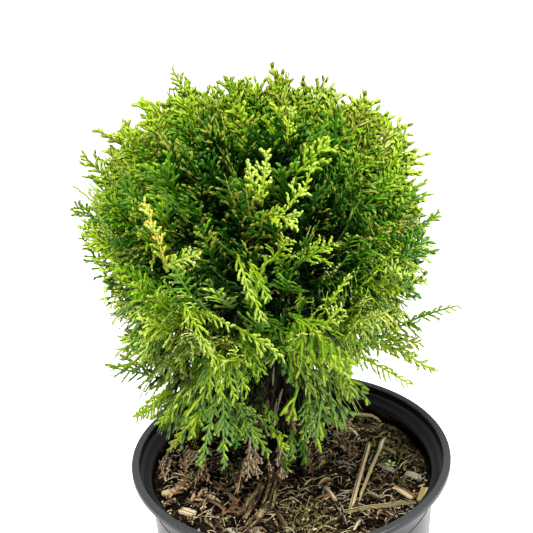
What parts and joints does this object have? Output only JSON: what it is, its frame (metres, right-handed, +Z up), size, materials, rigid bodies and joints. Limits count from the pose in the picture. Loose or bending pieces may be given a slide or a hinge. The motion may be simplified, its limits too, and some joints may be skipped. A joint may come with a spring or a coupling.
{
  "type": "potted thuja",
  "caption": "Young globe-shaped conifer with flat scaly sprays, in its round black nursery pot filled with bark mulch.",
  "frame": {"origin": "centre of the pot's flat underside", "axes": "+Z up along the pot's axis, -Y towards the side seen in the picture"},
  "size_m": [0.2531, 0.2395, 0.4881],
  "materials": {
    "pot": "satin black",
    "soil": "rough",
    "bark": "rough",
    "foliage": "satin"
  },
  "bodies": {
    "root": {"pot": "pot", "soil": "soil", "trunk": "bark", "side_stem": "bark", "bough_upper_1": "bark", "bough_upper_2": "bark", "bough_upper_3": "bark", "bough_upper_4": "bark", "bough_upper_5": "bark", "bough_middle_1": "bark", "bough_middle_2": "bark", "bough_middle_3": "bark", "bough_middle_4": "bark", "bough_middle_5": "bark", "bough_middle_6": "bark", "bough_lower_1": "bark", "bough_lower_3": "bark", "bough_lower_4": "bark", "bough_lower_5": "bark", "foliage_top": "foliage", "foliage_upper_1": "foliage", "foliage_upper_2": "foliage", "foliage_upper_3": "foliage", "foliage_upper_4": "foliage", "foliage_upper_5": "foliage", "foliage_middle_1": "foliage", "foliage_middle_2": "foliage", "foliage_middle_3": "foliage", "foliage_middle_4": "foliage", "foliage_middle_5": "foliage", "foliage_middle_6": "foliage", "foliage_lower_1": "foliage", "foliage_lower_2": "foliage", "foliage_lower_3": "foliage", "foliage_lower_4": "foliage", "foliage_lower_5": "foliage"}
  },
  "joints": []
}
